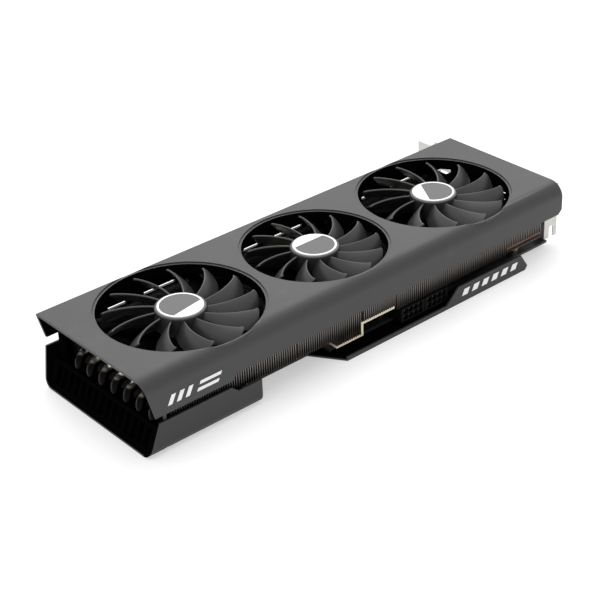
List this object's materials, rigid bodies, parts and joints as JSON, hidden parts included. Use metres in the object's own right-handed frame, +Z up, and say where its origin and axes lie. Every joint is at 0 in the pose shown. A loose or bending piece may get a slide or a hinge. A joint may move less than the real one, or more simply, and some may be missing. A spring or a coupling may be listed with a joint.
{
  "type": "graphics card",
  "caption": "Dual-width-and-a-half graphics card with axial fans, a finned cooler, a folded metal shroud, a backplate tray, an end bracket and a board edge.",
  "frame": {"origin": "centre of the card's footprint, on the plane it rests on", "axes": "+X from the tail to the io bracket, +Y from the power sockets' edge to the board contacts' edge, +Z up out of the fans"},
  "size_m": [0.3524, 0.1352, 0.05],
  "materials": {
    "shroud_paint": "satin fine-textured dark grey coat",
    "backplate_paint": "satin fine-textured dark grey coat",
    "pale_mark": "printed pale grey",
    "fan_plastic": "moulded near-black with a soft sheen",
    "frame_plastic": "moulded black",
    "badge_metal": "pale satin metal",
    "magnet": "dark sintered",
    "shaft_steel": "ground",
    "bearing_brass": "sintered",
    "stator_steel": "laminated",
    "copper_wire": "enamelled copper",
    "screw_steel": "zinc plated",
    "fin_metal": "dark anodised sheet",
    "pipe_copper": "copper with a thin plated finish",
    "cold_plate_metal": "nickel plated",
    "mid_plate_metal": "bare warm-toned sheet",
    "board_laminate": "black solder mask",
    "package_laminate": "green laminate",
    "die_glass": "polished silicon",
    "chip_resin": "moulded resin",
    "ferrite": "pressed ferrite",
    "can_aluminium": "drawn can",
    "pad_rubber": "soft filled silicone",
    "header_nylon": "natural nylon",
    "socket_nylon": "black nylon",
    "gold_plate": "gold plated",
    "port_steel": "plated shell",
    "spring_steel": "spring steel",
    "bracket_steel": "plated sheet"
  },
  "bodies": {
    "card": {"shroud": "shroud_paint", "side_bars": "pale_mark", "fan_bearing_tail": "bearing_brass", "fan_bearing_middle": "bearing_brass", "fan_bearing_bracket": "bearing_brass", "fan_stator_tail": "stator_steel", "fan_stator_middle": "stator_steel", "fan_stator_bracket": "stator_steel", "fan_frame_tail": "frame_plastic", "fan_frame_middle": "frame_plastic", "fan_frame_bracket": "frame_plastic", "stator_coils": "copper_wire", "fan_screws": "screw_steel", "tail_fins": "fin_metal", "main_fins": "fin_metal", "heat_pipes": "pipe_copper", "cold_plate": "cold_plate_metal", "mid_plate": "mid_plate_metal", "board": "board_laminate", "processor_package": "package_laminate", "processor_die": "die_glass", "memory_chips": "chip_resin", "chokes": "ferrite", "power_stages": "chip_resin", "capacitors": "can_aluminium", "thermal_pads": "pad_rubber", "fan_headers": "header_nylon", "power_sockets": "socket_nylon", "power_pins": "gold_plate", "display_sockets": "port_steel", "hdmi_socket": "port_steel", "port_tongues": "socket_nylon", "edge_contacts": "gold_plate", "retention_spring": "spring_steel", "spring_screws": "screw_steel", "backplate": "backplate_paint", "tab_bars": "pale_mark", "board_screws": "screw_steel", "tail_screws": "screw_steel", "io_bracket": "bracket_steel", "shroud_screws": "screw_steel"},
    "tail_fan": {"fan_rotor_tail": "fan_plastic", "hub_badge_tail": "badge_metal", "rotor_magnet_tail": "magnet", "fan_shaft_tail": "shaft_steel"},
    "middle_fan": {"fan_rotor_middle": "fan_plastic", "hub_badge_middle": "badge_metal", "rotor_magnet_middle": "magnet", "fan_shaft_middle": "shaft_steel"},
    "bracket_fan": {"fan_rotor_bracket": "fan_plastic", "hub_badge_bracket": "badge_metal", "rotor_magnet_bracket": "magnet", "fan_shaft_bracket": "shaft_steel"}
  },
  "joints": [
    {"name": "tail_spin", "type": "hinge", "parent": "card", "child": "tail_fan", "pos_m": [-0.1107, -0.01355, 0.042], "axis": [0, 0, 1], "continuous": true},
    {"name": "middle_spin", "type": "hinge", "parent": "card", "child": "middle_fan", "pos_m": [-0.0071, -0.01355, 0.042], "axis": [0, 0, 1], "continuous": true},
    {"name": "bracket_spin", "type": "hinge", "parent": "card", "child": "bracket_fan", "pos_m": [0.0965, -0.01355, 0.042], "axis": [0, 0, 1], "continuous": true}
  ]
}
